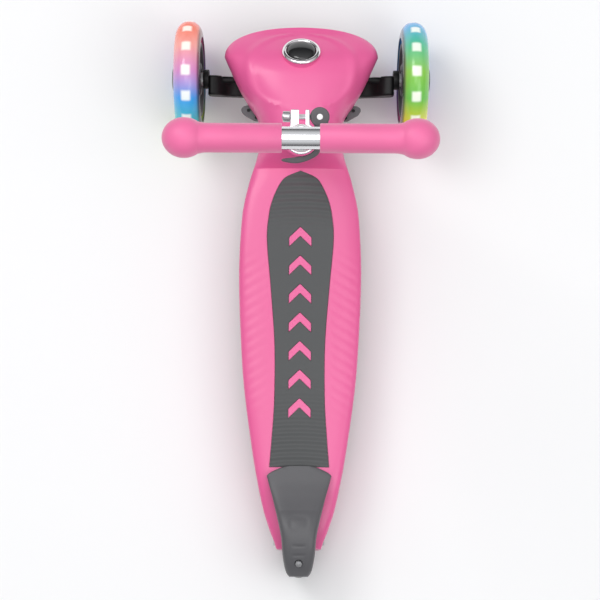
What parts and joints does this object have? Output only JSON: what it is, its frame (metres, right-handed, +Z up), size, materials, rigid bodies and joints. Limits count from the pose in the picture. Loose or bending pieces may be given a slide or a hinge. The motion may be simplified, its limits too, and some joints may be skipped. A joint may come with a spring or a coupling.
{
  "type": "kick scooter",
  "caption": "Toddler lean-to-steer kick scooter with wide front pod, light-up front wheels, rear fender brake and height-adjustable T-bar with ball-end grips.",
  "frame": {"origin": "middle of the footprint on the ground: halfway between the front of the front tyres and the end of the rear brake, on the middle line, at ground height", "axes": "+X to the rider's right, +Y forward, +Z up"},
  "size_m": [0.2668, 0.5786, 0.6836],
  "materials": {
    "deck_pink": "satin moulded pink",
    "mat_grey": "matt moulded",
    "dark_grey": "fine-grained moulded",
    "beam_black": "glossy",
    "button_black": "glossy",
    "chrome": "mirror-bright",
    "tube_silver": "polished",
    "clamp_silver": "polished",
    "grip_pink": "soft satin",
    "tyre_clear": "translucent polyurethane",
    "rear_tyre": "satin polyurethane",
    "light_ring": "clear frosted ring",
    "hub_dark": "moulded",
    "bush_white": "moulded",
    "steel": "zinc-plated"
  },
  "bodies": {
    "deck": {"deck_shell": "deck_pink", "grip_mat": "mat_grey", "truck_housing": "dark_grey", "housing_screw_1": "steel", "housing_screw_2": "steel", "housing_screw_3": "steel", "housing_screw_4": "steel", "kingpin_bolt": "steel", "kingpin_washer": "steel", "steering_spring_left": "steel", "steering_spring_right": "steel", "lock_button_ring": "chrome", "lock_spring": "steel", "rear_axle_bolt": "steel", "rear_axle_nut": "steel", "rear_spacer": "steel", "brake_hinge_pin": "steel", "brake_spring": "steel", "lower_tube": "tube_silver", "stem_bolt": "steel", "stem_nut": "steel", "tube_bush": "bush_white", "clamp_collar": "clamp_silver", "clamp_skewer": "steel", "clamp_nut": "steel", "cam_barrel": "steel"},
    "truck": {"axle_beam": "beam_black", "kingpin_bush_lower": "bush_white", "kingpin_bush_upper": "bush_white", "front_wheel_left_bolt": "steel", "front_wheel_right_bolt": "steel", "front_wheel_left_spacer": "steel", "front_wheel_right_spacer": "steel"},
    "wheel_left": {"front_wheel_left_tyre": "tyre_clear", "front_wheel_left_light_ring": "light_ring", "front_wheel_left_hub": "hub_dark", "front_wheel_left_bearing_inner": "steel", "front_wheel_left_bearing_outer": "steel", "front_wheel_left_cap": "hub_dark"},
    "wheel_right": {"front_wheel_right_tyre": "tyre_clear", "front_wheel_right_light_ring": "light_ring", "front_wheel_right_hub": "hub_dark", "front_wheel_right_bearing_inner": "steel", "front_wheel_right_bearing_outer": "steel", "front_wheel_right_cap": "hub_dark"},
    "rear_wheel": {"rear_tyre": "rear_tyre", "rear_hub": "hub_dark", "rear_bearing_left": "steel", "rear_bearing_right": "steel"},
    "brake": {"rear_brake": "dark_grey", "brake_wear_plate": "steel", "brake_screw": "steel"},
    "lock_button": {"lock_button": "button_black", "lock_pin": "steel"},
    "clamp_lever": {"clamp_lever": "dark_grey"},
    "handlebar": {"handlebar_tube": "tube_silver", "upper_tube_guide": "bush_white", "grip_left": "grip_pink", "grip_right": "grip_pink"}
  },
  "joints": [
    {"name": "lean_steer", "type": "hinge", "parent": "deck", "child": "truck", "pos_m": [0, 0.224, 0.052], "axis": [0, 0.6561, 0.7547], "range_deg": [-11, 11], "stiffness_Nm_per_rad": 60, "deforming": ["steering_spring_left", "steering_spring_right"]},
    {"name": "wheel_left_spin", "type": "hinge", "parent": "truck", "child": "wheel_left", "pos_m": [-0.1155, 0.2295, 0.06042], "axis": [-0.9981, 0, -0.061], "continuous": true},
    {"name": "wheel_right_spin", "type": "hinge", "parent": "truck", "child": "wheel_right", "pos_m": [0.1155, 0.2295, 0.06042], "axis": [0.9981, 0, -0.061], "continuous": true},
    {"name": "rear_wheel_spin", "type": "hinge", "parent": "deck", "child": "rear_wheel", "pos_m": [0, -0.246, 0.04], "axis": [1, 0, 0], "continuous": true},
    {"name": "brake_press", "type": "hinge", "parent": "deck", "child": "brake", "pos_m": [0, -0.183, 0.06], "axis": [1, 0, 0], "range_deg": [0, 4], "stiffness_Nm_per_rad": 2, "springref_deg": -6.88},
    {"name": "lock_button_press", "type": "slide", "parent": "deck", "child": "lock_button", "axis": [0, -0.6561, -0.7547], "range_m": [0, 0.0035], "stiffness_N_per_m": 600, "springref_m": -0.002, "deforming": ["lock_spring"]},
    {"name": "clamp_lever_swing", "type": "hinge", "parent": "deck", "child": "clamp_lever", "pos_m": [0.0182, 0.10212, 0.59944], "axis": [0, -0.1599, 0.9871], "range_deg": [0, 150]},
    {"name": "height_slide", "type": "slide", "parent": "deck", "child": "handlebar", "axis": [0, -0.1599, 0.9871], "range_m": [0, 0.1]}
  ]
}
